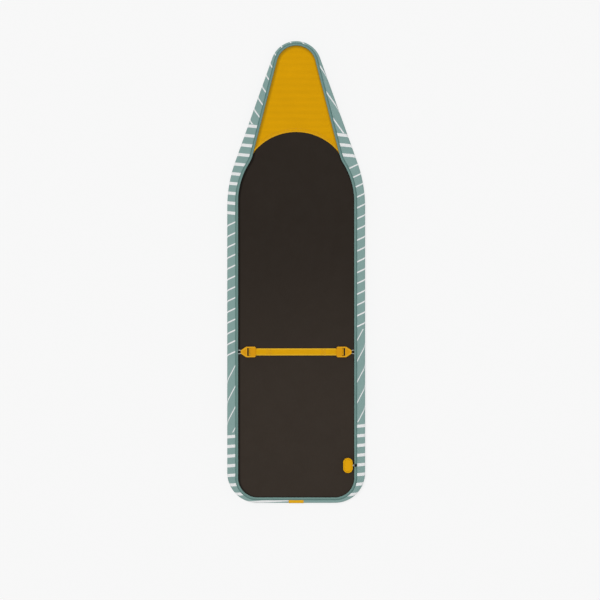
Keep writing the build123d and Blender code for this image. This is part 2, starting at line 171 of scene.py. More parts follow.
def outer_curve():
    tail = (HALF - TAIL_R, TAIL_Y + TAIL_R)
    shoulder_x = HALF - SHOULDER_R
    shoulder = (shoulder_x, APEX_Y - (SHOULDER_R + shoulder_x * cos(TAPER)) / sin(TAPER))
    nose = (0, NOSE_Y - NOSE_R)
    return Curve([
        ("line", (0, TAIL_Y), (tail[0], TAIL_Y)),
        ("arc", tail, TAIL_R, -QUARTER, 0),
        ("line", (HALF, tail[1]), (HALF, shoulder[1])),
        ("arc", shoulder, SHOULDER_R, 0, TAPER),
        ("line", polar(shoulder, SHOULDER_R, TAPER), polar(nose, NOSE_R, TAPER)),
        ("arc", nose, NOSE_R, TAPER, QUARTER),
    ])


def opening_curve():
    tail = (OPEN_HALF - OPEN_TAIL_R, OPEN_TAIL_Y + OPEN_TAIL_R)
    nose = (0, OPEN_NOSE_Y - OPEN_NOSE_R)
    arch, arch_r = (ARCH_X, ARCH_Y), OPEN_HALF - ARCH_X
    reach = arch_r + KINK_R
    rise = (OPEN_APEX_Y - ARCH_Y) * sin(OPEN_TAPER) + KINK_R - ARCH_X * cos(OPEN_TAPER)
    turn = OPEN_TAPER + acos(rise / reach)
    kink = polar(arch, reach, turn)
    return Curve([
        ("line", (0, OPEN_TAIL_Y), (tail[0], OPEN_TAIL_Y)),
        ("arc", tail, OPEN_TAIL_R, -QUARTER, 0),
        ("line", (OPEN_HALF, tail[1]), (OPEN_HALF, ARCH_Y)),
        ("arc", arch, arch_r, 0, turn),
        ("arc", kink, KINK_R, turn + pi, OPEN_TAPER + pi),
        ("line", polar(kink, -KINK_R, OPEN_TAPER), polar(nose, OPEN_NOSE_R, OPEN_TAPER)),
        ("arc", nose, OPEN_NOSE_R, OPEN_TAPER, QUARTER),
    ])


OUTER, OPENING = outer_curve(), opening_curve()
STEPS = (40, 56, 290, 52, 124, 40)  # stations on each stretch of half the board
SPINE_TAIL_Y = TAIL_Y + 150
SPINE_NOSE_Y = NOSE_Y - 90


def stations(curve, marks):
    """Points and normals right round the board; stretch by stretch, both curves have the same number."""
    half = []
    for k, n in enumerate(STEPS):
        half += [curve.at(marks[k] + (marks[k + 1] - marks[k]) * i / n) for i in range(n)]
    half.append(curve.at(marks[-1]))
    mirrored = [((-x, y), (-nx, ny)) for (x, y), (nx, ny) in half[-2:0:-1]]
    return half + mirrored


OUTER_MARKS = OUTER.ends
_, TAIL_END, CORNER_END, SIDE_END, ARCH_END, _, TIP_START, OPENING_HALF = OPENING.ends
OPENING_MARKS = [0, TAIL_END, CORNER_END, SIDE_END - 15.0, ARCH_END + 8.0, TIP_START, OPENING_HALF]
RIM = stations(OUTER, OUTER_MARKS)
INNER = stations(OPENING, OPENING_MARKS)
COUNT = len(RIM)


def pucker_waves(sizes):
    """Gathers of the cloth along the hem, as a closed sum of waves, one value for each station."""
    round_the_hem = 2800
    waves = [(round(round_the_hem / size), rng.uniform(0, tau), share) for size, share in sizes]
    return [
        sum(share * sin(n * tau * i / COUNT + phase) for n, phase, share in waves)
        for i in range(COUNT)
    ]


FINE = pucker_waves([(11, 0.5), (16, 0.6), (27, 0.5)])
BROAD = pucker_waves([(48, 0.5), (83, 0.6), (170, 0.5)])


def gather(i):
    """How strongly the drawcord gathers the cloth here: most round the nose and the tail corners."""
    (x, y), _ = RIM[i]
    nose = max(0.0, min(1.0, (y - 520) / 60))
    corner = (HALF - TAIL_R * 0.3, TAIL_Y + TAIL_R * 0.3)
    tail = max(0.0, 1 - dist((abs(x), y), corner) / 90)
    return 0.25 + 0.75 * max(nose, tail)


def inset_ring(inset, z):
    """The board's outline, drawn in by an inset, at a height."""
    return [(x - nx * inset, y - ny * inset, z) for (x, y), (nx, ny) in RIM]


def toward_spine(row, t):
    """A ring of points drawn in, by a share t of the way, to the board's middle line."""
    drawn = []
    for x, y, z in row:
        spine_y = max(SPINE_TAIL_Y, min(SPINE_NOSE_Y, y))
        drawn.append((x * (1 - t), y + (spine_y - y) * t, z))
    return drawn


# ---- meshes
def new_object(name, verts, faces, smooth=True):
    mesh = bpy.data.meshes.new(name)
    mesh.from_pydata([tuple(c * MM for c in v) for v in verts], [], faces)
    mesh.validate()
    if smooth:
        mesh.polygons.foreach_set("use_smooth", [True] * len(mesh.polygons))
    mesh.update()
    obj = bpy.data.objects.new(name, mesh)
    bpy.context.scene.collection.objects.link(obj)
    return obj


def quads(rings, n, start=0):
    """The faces between closed rings of n points each, the first of which begins at vertex start."""
    corners = [(start + k * n + i, start + k * n + (i + 1) % n) for k in range(rings - 1) for i in range(n)]
    return [(a, b, b + n, a + n) for a, b in corners]


def lofted(name, rings, closed_across=False):
    """A skin over rings right round the board; a closed section joins the last ring to the first."""
    n = len(rings[0])
    last = (len(rings) - 1) * n
    faces = quads(len(rings), n)
    if closed_across:
        faces += [(last + i, last + (i + 1) % n, (i + 1) % n, i) for i in range(n)]
    return new_object(name, [v for ring in rings for v in ring], faces)


def grid(name, rows):
    """Quads between open rows of points."""
    n = len(rows[0])
    verts = [v for row in rows for v in row]
    faces = [
        (r * n + i, r * n + i + 1, (r + 1) * n + i + 1, (r + 1) * n + i)
        for r in range(len(rows) - 1)
        for i in range(n - 1)
    ]
    return new_object(name, verts, faces)


def add_tube(verts, faces, path, radius, sides):
    """A round tube along a path of points, added to lists of vertices and faces."""
    points = [Vector(p) for p in path]
    up = Vector((0, 0, 1))
    first = (points[1] - points[0]).normalized()
    across = first.cross(up)
    if across.length < 0.1:
        across = first.cross(Vector((1, 0, 0)))
    across.normalize()
    start = len(verts)
    for k, p in enumerate(points):
        ahead = points[min(k + 1, len(points) - 1)] - points[max(k - 1, 0)]
        ahead.normalize()
        across = (across - ahead * across.dot(ahead)).normalized()
        other = ahead.cross(across)
        for s in range(sides):
            a = tau * s / sides
            verts.append(tuple(p + (across * cos(a) + other * sin(a)) * radius))
    faces += quads(len(points), sides, start)
    faces.append(tuple(start + s for s in reversed(range(sides))))
    faces.append(tuple(start + (len(points) - 1) * sides + s for s in range(sides)))


def weld(obj):
    """Joins the points of a mesh that lie in the same place."""
    mesh = bmesh.new()
    mesh.from_mesh(obj.data)
    bmesh.ops.remove_doubles(mesh, verts=mesh.verts, dist=0.001 * MM)
    mesh.to_mesh(obj.data)
    mesh.free()


def close(obj):
    """Caps the open ends of a mesh and turns its faces outward."""
    mesh = bmesh.new()
    mesh.from_mesh(obj.data)
    bmesh.ops.holes_fill(mesh, edges=[edge for edge in mesh.edges if edge.is_boundary], sides=0)
    bmesh.ops.recalc_face_normals(mesh, faces=mesh.faces)
    mesh.to_mesh(obj.data)
    mesh.free()


def face_up(obj):
    """Turns a sheet over if most of it faces down."""
    if sum(face.normal.z * face.area for face in obj.data.polygons) < 0:
        obj.data.flip_normals()


def give_uv(obj, values):
    """One UV map from a value pair for each vertex."""
    layer = obj.data.uv_layers.new(name="UVMap")
    for loop in obj.data.loops:
        layer.data[loop.index].uv = values[loop.vertex_index]


def thicken(obj, depth):
    """Gives a sheet its thickness, on the side its faces turn away from."""
    modifier = obj.modifiers.new("thickness", "SOLIDIFY")
    modifier.thickness = depth * MM
    modifier.offset = -1.0
    modifier.use_rim = True
    bpy.context.view_layer.update()
    graph = bpy.context.evaluated_depsgraph_get()
    mesh = bpy.data.meshes.new_from_object(obj.evaluated_get(graph))
    obj.modifiers.clear()
    obj.data = mesh


def stitches(name, path_at, total, pitch, share, radius):
    """A row of thread stitches: short arched tubes that dip into the cloth at both ends."""
    verts, faces = [], []
    count = int(total / pitch)
    for k in range(count):
        middle = (k + 0.5) * pitch
        run = pitch * share * rng.uniform(0.94, 1.03)
        path = []
        for t in (-0.5, -0.3, 0.0, 0.3, 0.5):
            x, y, z = path_at(middle + run * t)
            dip = radius * (0.9 - 6.72 * t * t)
            path.append((x, y, z + dip))
        add_tube(verts, faces, path, radius, 6)
    return new_object(name, verts, faces)


# ---- materials
def srgb(r, g, b):
    """A colour given in 0-255 steps, as the shader's linear values."""
    def linear(c):
        return c / 12.92 if c <= 0.04045 else ((c + 0.055) / 1.055) ** 2.4

    return tuple(linear(step / 255) for step in (r, g, b))


class Look:
    """A material built from nodes."""

    def __init__(self, name, roughness, sheen=0.0, specular=0.5):
        self.material = bpy.data.materials.new(name)
        self.material.use_nodes = True
        self.tree = self.material.node_tree
        self.shader = self.tree.nodes["Principled BSDF"]
        self.shader.inputs["Roughness"].default_value = roughness
        self.shader.inputs["Sheen Weight"].default_value = sheen
        self.shader.inputs["Sheen Roughness"].default_value = 0.5
        self.shader.inputs["Specular IOR Level"].default_value = specular
        self.place = self.make("ShaderNodeTexCoord").outputs["Object"]
        self.uv = self.make("ShaderNodeTexCoord").outputs["UV"]

    def make(self, kind, **settings):
        node = self.tree.nodes.new(kind)
        for key, value in settings.items():
            setattr(node, key, value)
        return node

    def put(self, socket, value):
        if isinstance(value, bpy.types.NodeSocket):
            self.tree.links.new(value, socket)
        else:
            socket.default_value = value

    def calc(self, operation, a, b=0.0, c=0.0):
        node = self.make("ShaderNodeMath", operation=operation)
        for socket, value in zip(node.inputs, (a, b, c)):
            self.put(socket, value)
        return node.outputs[0]

    def where(self, test, a, b):
        """a, or b where the test is 1."""
        return self.calc("ADD", a, self.calc("MULTIPLY", test, self.calc("SUBTRACT", b, a)))

    def ramp(self, value, low, high, out_low=0.0, out_high=1.0):
        node = self.make("ShaderNodeMapRange", interpolation_type="SMOOTHSTEP")
        self.put(node.inputs["Value"], value)
        self.put(node.inputs["From Min"], low)
        self.put(node.inputs["From Max"], high)
        self.put(node.inputs["To Min"], out_low)
        self.put(node.inputs["To Max"], out_high)
        return node.outputs["Result"]

    def split(self, vector):
        """The X, Y and Z of a vector."""
        node = self.make("ShaderNodeSeparateXYZ")
        self.put(node.inputs[0], vector)
        return node.outputs

    def cells(self, scale):
        """Distance to the middle of the nearest of many small cells."""
        node = self.make("ShaderNodeTexVoronoi")
        self.put(node.inputs["Vector"], self.place)
        node.inputs["Scale"].default_value = scale
        return node.outputs["Distance"]

    def wave(self, vector, pitch, operation="SINE"):
        """A wave along a direction, -1 to 1; pitch is in millimetres."""
        return self.calc(operation, self.calc("MULTIPLY", self.dot(vector), tau / (pitch * MM)))

    def crossed(self, a, b):
        """Two waves crossed, 0 to 1."""
        return self.calc("MULTIPLY_ADD", self.calc("MULTIPLY", a, b), 0.5, 0.5)

    def dot(self, vector):
        """Distance along a direction, in metres."""
        node = self.make("ShaderNodeVectorMath", operation="DOT_PRODUCT")
        self.put(node.inputs[0], self.place)
        node.inputs[1].default_value = vector
        return node.outputs["Value"]

    def noise(self, scale, detail=2.0, roughness=0.5, stretch=(1, 1, 1)):
        """Noise between 0 and 1; scale is in features to the metre."""
        place = self.place
        if stretch != (1, 1, 1):
            mapping = self.make("ShaderNodeMapping")
            mapping.inputs["Scale"].default_value = stretch
            self.put(mapping.inputs["Vector"], place)
            place = mapping.outputs["Vector"]
        node = self.make("ShaderNodeTexNoise")
        self.put(node.inputs["Vector"], place)
        node.inputs["Scale"].default_value = scale
        node.inputs["Detail"].default_value = detail
        node.inputs["Roughness"].default_value = roughness
        return node.outputs["Fac"]

    def mix(self, factor, a, b, blend="MIX"):
        node = self.make("ShaderNodeMix", data_type="RGBA", blend_type=blend)
        self.put(node.inputs["Factor"], factor)
        for socket, value in ((node.inputs[6], a), (node.inputs[7], b)):
            self.put(socket, value if isinstance(value, bpy.types.NodeSocket) else (*value, 1.0))
        return node.outputs[2]

    def shade(self, colour, amount, *factors):
        """The colour, made darker and lighter by each factor about its middle."""
        total = 1.0
        for factor in factors:
            step = self.calc("MULTIPLY_ADD", factor, amount, 1.0 - amount / 2)
            total = step if isinstance(total, float) else self.calc("MULTIPLY", total, step)
        node = self.make("ShaderNodeVectorMath", operation="SCALE")
        self.put(node.inputs[0], colour if isinstance(colour, bpy.types.NodeSocket) else tuple(colour))
        self.put(node.inputs["Scale"], total)
        return node.outputs["Vector"]

    def bump(self, height, distance, strength=1.0):
        """Adds a layer of relief; distance is in millimetres."""
        node = self.make("ShaderNodeBump")
        node.inputs["Strength"].default_value = strength
        node.inputs["Distance"].default_value = distance * MM
        self.put(node.inputs["Height"], height)
        before = self.shader.inputs["Normal"]
        if before.is_linked:
            self.put(node.inputs["Normal"], before.links[0].from_socket)
        self.put(self.shader.inputs["Normal"], node.outputs["Normal"])

    def plain_weave(self, pitch):
        """Over-and-under threads, 0 to 1; pitch is in millimetres."""
        return self.crossed(self.wave((1, 0, 0), 2 * pitch), self.wave((0, 1, 0), 2 * pitch))

    def done(self, colour):
        self.put(self.shader.inputs["Base Color"], colour)
        return self.material


SHADE_SHIFT = 2.0  # how much wider the shade is on the left and at the nose


def inside_opening(look):
    """How far a point lies inside the cover's opening, in metres; less on the side the hem shades."""
    across, along, _ = look.split(look.place)
    x = look.calc("ABSOLUTE", look.calc("SUBTRACT", across, SHADE_SHIFT * MM))
    y = look.calc("ADD", along, SHADE_SHIFT * MM)

    def within(cx, cy, r):
        dx, dy = look.calc("SUBTRACT", x, cx * MM), look.calc("SUBTRACT", y, cy * MM)
        squares = look.calc("ADD", look.calc("MULTIPLY", dx, dx), look.calc("MULTIPLY", dy, dy))
        return look.calc("SUBTRACT", r * MM, look.calc("SQRT", squares))

    arch_r = OPEN_HALF - ARCH_X
    from_side = look.calc("SUBTRACT", OPEN_HALF * MM, x)
    from_tail = look.calc("SUBTRACT", y, OPEN_TAIL_Y * MM)
    wide = look.calc("MINIMUM", from_side, from_tail)
    corner_x, corner_y = OPEN_HALF - OPEN_TAIL_R, OPEN_TAIL_Y + OPEN_TAIL_R
    in_corner = look.calc(
        "MULTIPLY", look.calc("GREATER_THAN", x, corner_x * MM), look.calc("LESS_THAN", y, corner_y * MM)
    )
    round_corner = within(corner_x, corner_y, OPEN_TAIL_R)
    wide = look.where(in_corner, wide, round_corner)
    above = look.calc("GREATER_THAN", y, ARCH_Y * MM)
    arch = within(ARCH_X, ARCH_Y, arch_r)
    wide = look.where(above, wide, arch)
    c, s = cos(OPEN_TAPER), sin(OPEN_TAPER)
    side = look.calc("MULTIPLY_ADD", x, -c, look.calc("MULTIPLY_ADD", y, -s, OPEN_APEX_Y * s * MM))
    tip_y = OPEN_NOSE_Y - OPEN_NOSE_R + OPEN_NOSE_R * s
    in_tip = look.calc("GREATER_THAN", y, tip_y * MM)
    tip = within(0, OPEN_NOSE_Y - OPEN_NOSE_R, OPEN_NOSE_R)
    narrow = look.where(in_tip, side, tip)
    below_arch = look.calc("LESS_THAN", y, (ARCH_Y + 20) * MM)
    narrow = look.calc("ADD", narrow, look.calc("MULTIPLY", below_arch, -1.0))
    return look.calc("MAXIMUM", wide, narrow)


def slanted(look, angle):
    """Distance square to a line at this angle from the board's cross direction."""
    a = radians(angle)
    return look.dot((-sin(a), cos(a), 0))


def from_nearest_line(look, angle, pitch, first):
    """Distance from the nearest of a family of parallel lines, one of which lies at first."""
    well_behind = (first - 40 * pitch) * MM
    return look.calc("PINGPONG", look.calc("SUBTRACT", slanted(look, angle), well_behind), pitch * MM / 2)


def printed_cloth():
    """Muted teal cotton with bands of parallel white lines, each band at its own slant."""
    look = Look("printed_cloth", 0.86, sheen=0.06, specular=0.1)
    _, _, height = look.split(look.place)
    on_face = look.calc("LESS_THAN", height, FACE_SEAM_Z * MM)
    look.place = look.mix(on_face, look.uv, look.place)
    wobble = look.calc("MULTIPLY_ADD", look.noise(420, 1.0), 0.5 * MM, -0.25 * MM)
    blur = 0.35
    bands = [
        # slant, pitch, one line's place, line width; then the slant and place of the band's tail-side edge
        (-54.4, 26.4, 373.0, 3.3, -5.6, 383.0),
        (-5.6, 26.35, 377.8, 8.2, 25.2, 205.0),
        (25.2, 26.18, 191.0, 3.6, 14.1, -191.7),
        (62.3, 25.8, 28.1, 2.3, 4.7, -414.5),
        (4.7, 25.9, -425.1, 8.2, None, None),
    ]
    white = None
    for slant, pitch, first, width, edge_slant, edge_place in reversed(bands):
        away = look.calc("ADD", from_nearest_line(look, slant, pitch, first), wobble)
        line = look.ramp(away, (width / 2 + blur) * MM, (width / 2 - blur) * MM)
        if white is None:
            white = line
            continue
        ahead = look.calc("GREATER_THAN", slanted(look, edge_slant), edge_place * MM)
        white = look.where(ahead, white, line)
    weave = look.plain_weave(0.55)
    ink = look.calc("MULTIPLY", white, look.ramp(look.noise(900, 2.0), 0.2, 0.42, 0.86, 1.0))
    ground = look.shade(srgb(130, 158, 154), 0.10, look.noise(26, 3.0), look.noise(700, 2.0), weave)
    pale = look.shade(srgb(226, 227, 227), 0.06, look.noise(300, 2.0), weave)
    look.bump(weave, 0.12, 0.6)
    look.bump(look.noise(55, 2.0), 0.5, 0.25)
    return look.done(look.mix(ink, ground, pale))


def woven(name, colour, pitch, depth, mottling=0.08, ribs=None, slub=None, bands=None, hem_shadow=None):
    """A plain-woven cloth; ribs and bands are the pitches of coarser ribs and of broad faint shading,
    slub is the scale of its uneven threads, and the last argument is the colour of a shadow painted close
    beside the hem."""
    look = Look(name, 0.88, sheen=0.03, specular=0.05)
    weave = look.plain_weave(pitch)
    factors = [look.noise(18, 3.0), look.noise(650, 2.0), weave]
    if slub:
        factors.append(look.noise(slub, 2.0, stretch=(0.12, 1, 1)))
    if ribs:
        look.bump(look.wave((0, 1, 0), ribs), 0.06, 0.5)
    look.bump(weave, depth, 0.6)
    look.bump(look.noise(40, 2.0), 0.4, 0.2)
    colour = look.shade(colour, mottling, *factors)
    if bands:
        broad = look.calc("MULTIPLY_ADD", look.wave((0, 1, 0), bands, "COSINE"), 0.5, 0.5)
        colour = look.shade(colour, 0.04, broad)
    # painted shadow: the cloth darkened close beside the hem, wider on the left and at the nose
    if hem_shadow:
        hem_shadow_mask = look.ramp(inside_opening(look), 0.5 * MM, 8.0 * MM, 0.46, 0.0)
        colour = look.mix(hem_shadow_mask, colour, hem_shadow)
    return look.done(colour)


def hem_cloth():
    """Teal binding; its outer band beside the stitching is painted darker than the roll: painted shade of the
    stitched valley.
    """
    look = Look("hem_cloth", 0.86, sheen=0.06, specular=0.08)
    _, outward, _ = look.split(look.uv)
    roll = look.ramp(outward, 0.42, 0.72)
    weave = look.plain_weave(0.5)
    # painted shade: the outer band beside the stitching darker than the roll
    colour = look.mix(roll, srgb(112, 142, 137), srgb(94, 127, 122))
    look.bump(weave, 0.1, 0.5)
    return look.done(look.shade(colour, 0.09, look.noise(30, 3.0), look.noise(600, 2.0), weave))


def webbing_cloth():
    """Mustard webbing: tight ribs across it and a thicker, paler selvedge along each edge."""
    look = Look("webbing", 0.7, sheen=0.03, specular=0.07)
    off = look.calc("ABSOLUTE", look.calc("SUBTRACT", look.dot((0, 1, 0)), STRAP_Y * MM))
    edge = look.calc("MULTIPLY", look.ramp(off, 5.6 * MM, 6.6 * MM), look.ramp(off, 9.9 * MM, 9.2 * MM))
    twill = look.crossed(look.wave((1, 0, 0), 0.9), look.wave((0, 1, 0), 0.7))
    colour = look.mix(edge, srgb(214, 157, 3), srgb(216, 168, 36))
    look.bump(twill, 0.14, 0.7)
    return look.done(look.shade(colour, 0.10, look.noise(60, 2.0), look.noise(900, 2.0), twill))


def moulded(name, recess, rim_highlight=None, rim_low=None, rim_high=None):
    """Satin moulded plastic; between two heights it turns to a lighter colour, a highlight painted on the
    raised edge.
    """
    look = Look(name, 0.42, specular=0.04)
    colour = look.shade(recess, 0.06, look.noise(90, 3.0), look.noise(1500, 2.0))
    if rim_highlight:
        # painted highlight: the top of the raised edge lighter than the recess
        height = look.ramp(look.dot((0, 0, 1)), rim_low * MM, rim_high * MM)
        colour = look.mix(height, colour, look.shade(rim_highlight, 0.05, look.noise(400, 2.0)))
    look.put(look.shader.inputs["Roughness"], look.ramp(look.noise(240, 3.0), 0.3, 0.7, 0.36, 0.52))
    look.bump(look.noise(2600, 2.0), 0.03, 0.5)
    return look.done(colour)


def dark_panel():
    """Matt dark brown hardboard: soft mottling, a fine fibre grain and a faint press texture; painted shade
    darkens it towards the nose, and a painted shadow lies in a band beside the hem.
    """
    look = Look("dark_panel", 0.82, specular=0.05)
    along = look.dot((0, 1, 0))
    # painted shade: darker towards the nose
    colour = look.mix(look.ramp(along, -0.40, 0.15), srgb(54, 47, 41), srgb(44, 38, 33))
    fibre = look.noise(260, 3.0, 0.6, stretch=(1, 0.35, 1))
    look.bump(fibre, 0.12, 0.35)
    look.bump(look.noise(1400, 2.0), 0.05, 0.4)
    look.put(look.shader.inputs["Roughness"], look.ramp(look.noise(35, 3.0), 0.3, 0.7, 0.76, 0.9))
    colour = look.shade(colour, 0.16, look.noise(14, 4.0, 0.6), fibre, look.noise(900, 2.0))
    # painted shadow: near-black band beside the hem, wider on the left and at the nose
    hem_shadow_mask = look.ramp(inside_opening(look), 1.0 * MM, 5.5 * MM, 0.62, 0.0)
    return look.done(look.mix(hem_shadow_mask, colour, srgb(12, 10, 8)))


def board_wood():
    """Raw pressed board, seen only at its edge: chips in two tones."""
    look = Look("board_wood", 0.75, specular=0.25)
    tone = look.ramp(look.cells(420), 0.2, 0.7)
    look.bump(tone, 0.2, 0.4)
    colour = look.mix(tone, srgb(158, 124, 86), srgb(190, 158, 116))
    return look.done(look.shade(colour, 0.1, look.noise(120, 3.0)))


def spongy(name, colour, scale, depth):
    """Foam cells or felted fibre."""
    look = Look(name, 0.95, sheen=0.1, specular=0.1)
    cells = look.cells(scale)
    look.bump(cells, depth, 0.7)
    return look.done(look.shade(colour, 0.12, look.noise(25, 3.0), cells))


def braided(name, colour):
    """A braided elastic cord: two sets of strands that spiral opposite ways round it."""
    look = Look(name, 0.7, sheen=0.15, specular=0.3)
    around, along, _ = look.split(look.uv)
    turn = look.calc("MULTIPLY", around, 4 * tau)
    run = look.calc("MULTIPLY", along, tau / (1.6 * MM))
    left = look.calc("SINE", look.calc("ADD", turn, run))
    right = look.calc("SINE", look.calc("SUBTRACT", turn, run))
    braid = look.crossed(left, right)
    look.bump(braid, 0.25, 0.9)
    return look.done(look.shade(colour, 0.22, braid, look.noise(500, 2.0)))


def metal(name, colour):
    look = Look(name, 0.32)
    look.shader.inputs["Metallic"].default_value = 1.0
    look.bump(look.noise(3000, 2.0), 0.02, 0.4)
    return look.done(look.shade(colour, 0.1, look.noise(800, 2.0)))


def thread(name, colour):
    look = Look(name, 0.6, sheen=0.2, specular=0.3)
    look.bump(look.wave((1, 1, 1), 0.5), 0.06, 0.6)
    return look.done(look.shade(colour, 0.15, look.noise(700, 2.0)))


def painted_slit_shade():
    # painted shade: near-black colour standing in for the shade inside the loop slits
    look = Look("painted_slit_shade", 0.9, specular=0.1)
    return look.done(look.shade(srgb(12, 12, 11), 0.3, look.noise(800, 2.0)))


LOOKS = {
    "printed_cloth": printed_cloth(),
    "hem_cloth": hem_cloth(),
    # the pocket's last colour is the shadow painted beside the hem
    "pocket_cloth": woven(
        "pocket_cloth", srgb(211, 153, 4), 0.6, 0.12,
        mottling=0.09, ribs=1.4, slub=320, bands=18.2, hem_shadow=srgb(96, 82, 20),
    ),
    "lip_cloth": woven("lip_cloth", srgb(214, 160, 22), 0.5, 0.1),
    "tab_cloth": woven("tab_cloth", srgb(222, 168, 26), 0.5, 0.12, ribs=1.1),
    "webbing": webbing_cloth(),
    # the buckle's second colour is a highlight painted on its raised top edge
    "buckle_plastic": moulded(
        "buckle_plastic", srgb(208, 145, 6), srgb(216, 158, 26), BUCKLE_TOP_Z - 0.5, BUCKLE_TOP_Z - 0.15
    ),
    "lock_plastic": moulded("lock_plastic", srgb(220, 162, 6)),
    "lock_button_plastic": moulded("lock_button_plastic", srgb(218, 158, 3)),
    "dark_panel": dark_panel(),
    "board_wood": board_wood(),
    "foam": spongy("foam", srgb(228, 222, 200), 900, 0.3),
    "felt": spongy("felt", srgb(196, 194, 188), 1600, 0.25),
    "elastic_cord": braided("elastic_cord", srgb(176, 178, 174)),
    "eyelet_black": moulded("eyelet_black", srgb(22, 22, 20)),
    "spring_steel": metal("spring_steel", srgb(176, 176, 172)),
}
HEM_THREAD = thread("hem_thread", srgb(88, 120, 114))
POCKET_THREAD = thread("pocket_thread", srgb(176, 120, 4))
SLIT_SHADE = painted_slit_shade()


def finish_piece(obj, slot, body="board", material=None):
    """Closes a piece, gives it its material, the slot's unless another is given, and lets it ride on its
    body.
    """
    close(obj)
    obj.data.materials.clear()
    obj.data.materials.append(material or LOOKS[slot])
    if body:
        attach(obj, body)


# ---- camera, light and floor
def camera():
    data = bpy.data.cameras.new("camera")
    data.lens = 100.0
    data.sensor_width = 36.0
    data.clip_end = 50.0
    cam = bpy.data.objects.new("camera", data)
    bpy.context.scene.collection.objects.link(cam)
    width_seen = 1.6084  # metres across the picture, at the underside
    cam.location = (0.01025, -0.0748, FLAP_Z * MM + width_seen * data.lens / data.sensor_width)
    bpy.context.scene.camera = cam


def light_and_floor():
    scene = bpy.context.scene
    scene.view_settings.view_transform = "Standard"
    world = bpy.data.worlds.new("studio")
    world.use_nodes = True
    background = world.node_tree.nodes["Background"]
    background.inputs["Color"].default_value = (1.0, 1.0, 1.0, 1.0)
    background.inputs["Strength"].default_value = 0.52
    scene.world = world
    lamps = [
        # name, direction it shines from, strength, how wide it looks in degrees
        ("overhead", (-0.8, 0.8, 4.0), 1.35, 20),
        ("fill", (1.6, -1.0, 4.0), 0.25, 60),
    ]
    for name, place, power, spread in lamps:
        data = bpy.data.lights.new(name, "SUN")
        data.energy = power
        data.angle = radians(spread)
        lamp = bpy.data.objects.new(name, data)
        lamp.location = place
        lamp.rotation_mode = "QUATERNION"
        lamp.rotation_quaternion = (-Vector(place)).to_track_quat("-Z", "Y")
        scene.collection.objects.link(lamp)
    reach = 9000.0
    below = -0.2
    corners = [(-reach, -reach, below), (reach, -reach, below), (reach, reach, below), (-reach, reach, below)]
    floor = new_object("floor", corners, [(0, 1, 2, 3)], smooth=False)
    look = Look("floor", 0.9, specular=0.1)
    look.shader.inputs["Emission Color"].default_value = (1.0, 1.0, 1.0, 1.0)
    look.shader.inputs["Emission Strength"].default_value = 0.742
    floor.data.materials.append(look.done(look.shade((0.19, 0.19, 0.19), 0.004, look.noise(3.0))))


# ---- cover, hem and drawcord
def cover():
    """The printed cloth: from under the hem over the flap, down the wall and across the ironing face."""
    rings = []
    under_hem = [(x + nx * HEM_W / 2, y + ny * HEM_W / 2) for (x, y), (nx, ny) in INNER]
    edge = inset_ring(UNDER_EDGE + 0.6, FLAP_Z)
    for k in range(7):
        t = k / 6
        row = []
        for i, ((ax, ay), (bx, by, _)) in enumerate(zip(under_hem, edge)):
            swell = sin(pi * t)
            rise = swell * (0.10 + gather(i) * (0.22 * BROAD[i] * swell + 0.30 * FINE[i] * (1 - t)))
            row.append((ax + (bx - ax) * t, ay + (by - ay) * t, FLAP_Z + rise))
        rings.append(row)
    for k in range(7):
        a = QUARTER * k / 6
        rings.append(inset_ring(UNDER_EDGE * (1 - sin(a)), FLAP_Z - UNDER_EDGE * (1 - cos(a))))
    wall_top, wall_low = FLAP_Z - UNDER_EDGE, FACE_EDGE
    for k in range(1, 5):
        t = k / 5
        z = wall_top + (wall_low - wall_top) * t
        bow = 0.35 * sin(pi * t)
        row = []
        for i, ((x, y), (nx, ny)) in enumerate(RIM):
            uneven = 1 + 0.8 * gather(i) * FINE[i]
            row.append((x - nx * bow * uneven, y - ny * bow * uneven, z))
        rings.append(row)
    for k in range(7):
        a = QUARTER * k / 6
        rings.append(inset_ring(FACE_EDGE * (1 - cos(a)), FACE_EDGE * (1 - sin(a))))
    last = rings[-1]
    rings += [toward_spine(last, (k / 8) ** 0.8) for k in range(1, 9)]
    obj = lofted("cover_cloth", rings)
    cloth_place = []  # where each point lay on the flat cloth, with the walls folded out
    for row in rings:
        for (x, y, z), (_, (nx, ny)) in zip(row, RIM):
            drop = max(0.0, FLAP_Z - z)
            cloth_place.append(((x + nx * drop) * MM, (y + ny * drop) * MM))
    give_uv(obj, cloth_place)
    if obj.data.polygons[0].normal.z < 0:
        obj.data.flip_normals()
    weld(obj)
    thicken(obj, 0.7)
    finish_piece(obj, "printed_cloth")
    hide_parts("cover_fabric")
    return obj


HEM_SECTION = [
    # distance out from the hem's inner edge, height over the underside
    (1.1, 0.12), (0.25, 0.9), (0.0, 2.0), (0.2, 3.2), (0.85, 4.1), (1.9, 4.55),
    (3.0, 4.6), (4.15, 4.25), (5.2, 3.5), (6.05, 2.7), (6.65, 2.05), (7.05, 1.75),
    (7.45, 1.8), (7.8, 1.5), (7.8, 1.0), (7.1, 0.84), (4.0, 0.84), (2.5, 0.3),
]


def hem():
    crest = 4.6
    station_run = 2.36
    rings = []
    values = []
    for d, h in HEM_SECTION:
        row = []
        for i, ((x, y), (nx, ny)) in enumerate(INNER):
            lift = h / crest
            squeeze = gather(i) * (0.26 * FINE[i] + 0.1 * BROAD[i])
            out = d + (0.35 * squeeze if h > 0.5 else 0.0)
            row.append((x + nx * out, y + ny * out, UNDERSIDE_Z + h * (1 + 0.06 * squeeze * lift) - 0.02))
        rings.append(row)
        values += [(i * station_run * MM, d / HEM_W) for i in range(COUNT)]
    obj = lofted("hem_roll", rings, closed_across=True)
    give_uv(obj, values)
    finish_piece(obj, "hem_cloth")
    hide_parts("hem_casing")


